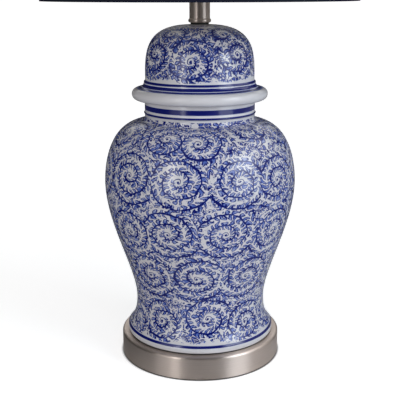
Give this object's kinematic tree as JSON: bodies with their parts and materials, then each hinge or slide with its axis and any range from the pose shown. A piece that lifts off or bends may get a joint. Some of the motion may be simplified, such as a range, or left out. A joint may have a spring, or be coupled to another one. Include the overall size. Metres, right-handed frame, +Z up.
{
  "type": "table lamp",
  "caption": "Table lamp with a blue-and-white lidded ceramic jar on a round metal foot, a metal neck, a bulb in a wire harp and a dark tapered drum shade.",
  "frame": {"origin": "centre of the underside of the felt, on the table", "axes": "+Z up along the pipe, -Y towards the front and the switch, +X to the right"},
  "size_m": [0.3799, 0.38, 0.7082],
  "materials": {
    "nickel": "brushed nickel plate with a fine circular grain",
    "rubber": "matt black rubber",
    "glaze": "glossy white glaze over cobalt blue scroll painting",
    "iron": "rough cast iron",
    "felt": "dark felt",
    "board": "brown fibreboard",
    "steel": "zinc-plated steel",
    "brass": "plain brass",
    "phenolic": "dark moulded plastic",
    "fibre": "pressed fibre sleeve",
    "knob": "glossy dark moulded plastic",
    "opal": "opal white glass",
    "shade_cloth": "dark navy plain-weave cloth",
    "shade_lining": "satin white plastic backing",
    "wire": "white painted wire"
  },
  "bodies": {
    "stand": {"felt_pad": "felt", "bottom_board": "board", "base_cover": "nickel", "base_weight": "iron", "cord_grommet": "rubber", "bottom_washer": "steel", "bottom_nut": "steel", "threaded_pipe": "steel", "foot_gasket": "rubber", "jar": "glaze", "lid_gasket": "rubber", "lid": "glaze", "neck_washer": "rubber", "neck_tube": "nickel", "neck_cap": "nickel", "top_nut": "steel", "harp_saddle": "steel", "harp": "nickel", "socket_cap": "nickel", "socket_shell": "nickel", "socket_insulator": "fibre", "socket_body": "phenolic", "terminal_screws": "brass", "screw_shell": "brass", "centre_contact": "brass"},
    "stud": {"harp_stud": "nickel"},
    "shade": {"spider_hub": "wire", "spider_arm_1": "wire", "spider_arm_2": "wire", "spider_arm_3": "wire", "shade_top_ring": "wire", "shade_bottom_ring": "wire", "shade_liner": "shade_lining", "shade_fabric": "shade_cloth", "shade_bottom_trim": "shade_cloth", "shade_top_trim": "shade_cloth"},
    "top_finial": {"finial": "nickel"},
    "bulb": {"bulb_contact": "brass", "bulb_insulator": "phenolic", "bulb_cap": "steel", "bulb_glass": "opal"},
    "switch": {"switch_shaft": "brass", "switch_knob": "knob"},
    "left_ferrule": {"ferrule_left": "nickel"},
    "right_ferrule": {"ferrule_right": "nickel"}
  },
  "joints": [
    {"name": "stud_swivel", "type": "hinge", "parent": "stand", "child": "stud", "pos_m": [0, 0, 0.6777], "axis": [0, 0, 1], "continuous": true},
    {"name": "shade_lift", "type": "slide", "parent": "stud", "child": "shade", "axis": [0, 0, 1], "range_m": [0, 0.26]},
    {"name": "finial_lift", "type": "slide", "parent": "shade", "child": "top_finial", "axis": [0, 0, 1], "range_m": [0, 0.03]},
    {"name": "bulb_lift", "type": "slide", "parent": "stand", "child": "bulb", "axis": [0, 0, 1], "range_m": [0, 0.03]},
    {"name": "switch_turn", "type": "hinge", "parent": "stand", "child": "switch", "pos_m": [0, -0.0243, 0.5062], "axis": [0, -1, 0], "continuous": true},
    {"name": "left_ferrule_slide", "type": "slide", "parent": "stand", "child": "left_ferrule", "axis": [0, 0, 1], "range_m": [0, 0.013]},
    {"name": "right_ferrule_slide", "type": "slide", "parent": "stand", "child": "right_ferrule", "axis": [0, 0, 1], "range_m": [0, 0.013]}
  ]
}
